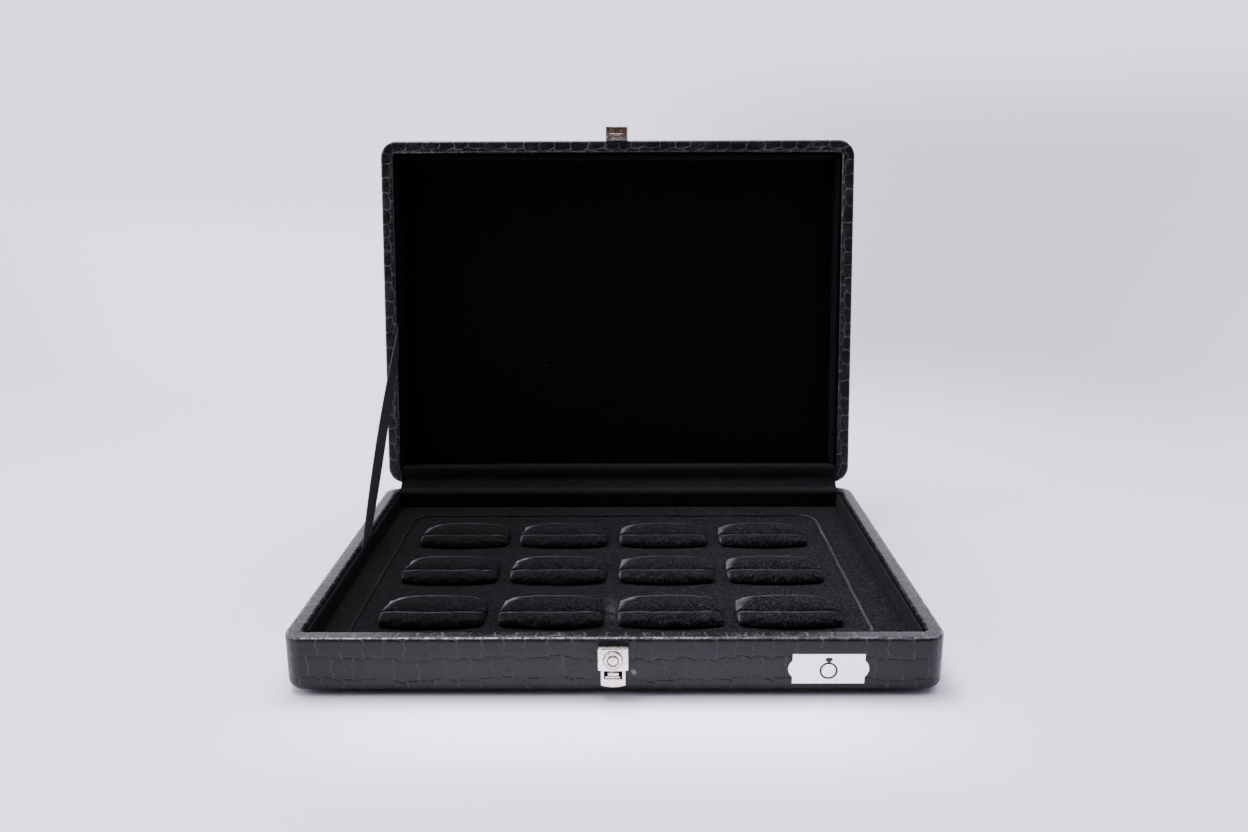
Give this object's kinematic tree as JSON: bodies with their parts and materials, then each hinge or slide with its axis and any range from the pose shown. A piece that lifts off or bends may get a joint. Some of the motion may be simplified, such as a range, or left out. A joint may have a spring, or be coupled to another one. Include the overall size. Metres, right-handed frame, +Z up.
{
  "type": "jewelry box",
  "caption": "Shallow hinged jewelry box in embossed leatherette, with a velvet tray of padded ring holders, a stay ribbon and a push-button lock.",
  "frame": {"origin": "centre of the underside of the base, on the surface that the box stands on", "axes": "+X to the right seen from the front, +Y towards the hinge, +Z up; the lid is open at rest"},
  "size_m": [0.24, 0.2237, 0.2045],
  "materials": {
    "leatherette": "satin",
    "fibreboard": "matte",
    "velvet_liner": "matte",
    "velvet_tray": "matte",
    "velvet_cloth": "matte",
    "satin_ribbon": "satin",
    "label_paper": "satin",
    "nickel": "satin"
  },
  "bodies": {
    "base": {"bottom_board": "leatherette", "base_floor_panel": "fibreboard", "base_front_rail": "fibreboard", "base_rear_rail": "fibreboard", "base_left_rail": "fibreboard", "base_right_rail": "fibreboard", "base_cover": "leatherette", "base_front_liner": "velvet_liner", "base_rear_liner": "velvet_liner", "base_left_liner": "velvet_liner", "base_right_liner": "velvet_liner", "ring_pad": "velvet_tray", "tray_piping": "velvet_tray", "ring_holder_1": "velvet_tray", "ring_holder_2": "velvet_tray", "ring_holder_3": "velvet_tray", "ring_holder_4": "velvet_tray", "ring_holder_5": "velvet_tray", "ring_holder_6": "velvet_tray", "ring_holder_7": "velvet_tray", "ring_holder_8": "velvet_tray", "ring_holder_9": "velvet_tray", "ring_holder_10": "velvet_tray", "ring_holder_11": "velvet_tray", "ring_holder_12": "velvet_tray", "front_label": "label_paper", "lock_case": "nickel", "lock_spring": "nickel", "hinge_cloth": "velvet_cloth", "hinge_spine": "leatherette", "stay_ribbon": "satin_ribbon"},
    "lid": {"lid_top_panel": "fibreboard", "lid_front_rail": "fibreboard", "lid_rear_rail": "fibreboard", "lid_left_rail": "fibreboard", "lid_right_rail": "fibreboard", "lid_cover": "leatherette", "lid_front_liner": "velvet_liner", "lid_rear_liner": "velvet_liner", "lid_left_liner": "velvet_liner", "lid_right_liner": "velvet_liner", "lid_pad": "velvet_liner", "hasp_cover": "nickel", "hasp_tongue": "nickel", "hasp_nails": "nickel"},
    "button": {"lock_button": "nickel"}
  },
  "joints": [
    {"name": "lid_hinge", "type": "hinge", "parent": "base", "child": "lid", "pos_m": [0, 0.0887, 0.0235], "axis": [1, 0, 0], "range_deg": [0, 98], "deforming": ["hinge_cloth", "hinge_spine", "stay_ribbon"]},
    {"name": "lock_press", "type": "slide", "parent": "base", "child": "button", "axis": [0, 1, 0], "range_m": [0, 0.00055], "stiffness_N_per_m": 600, "deforming": ["lock_spring"]}
  ]
}
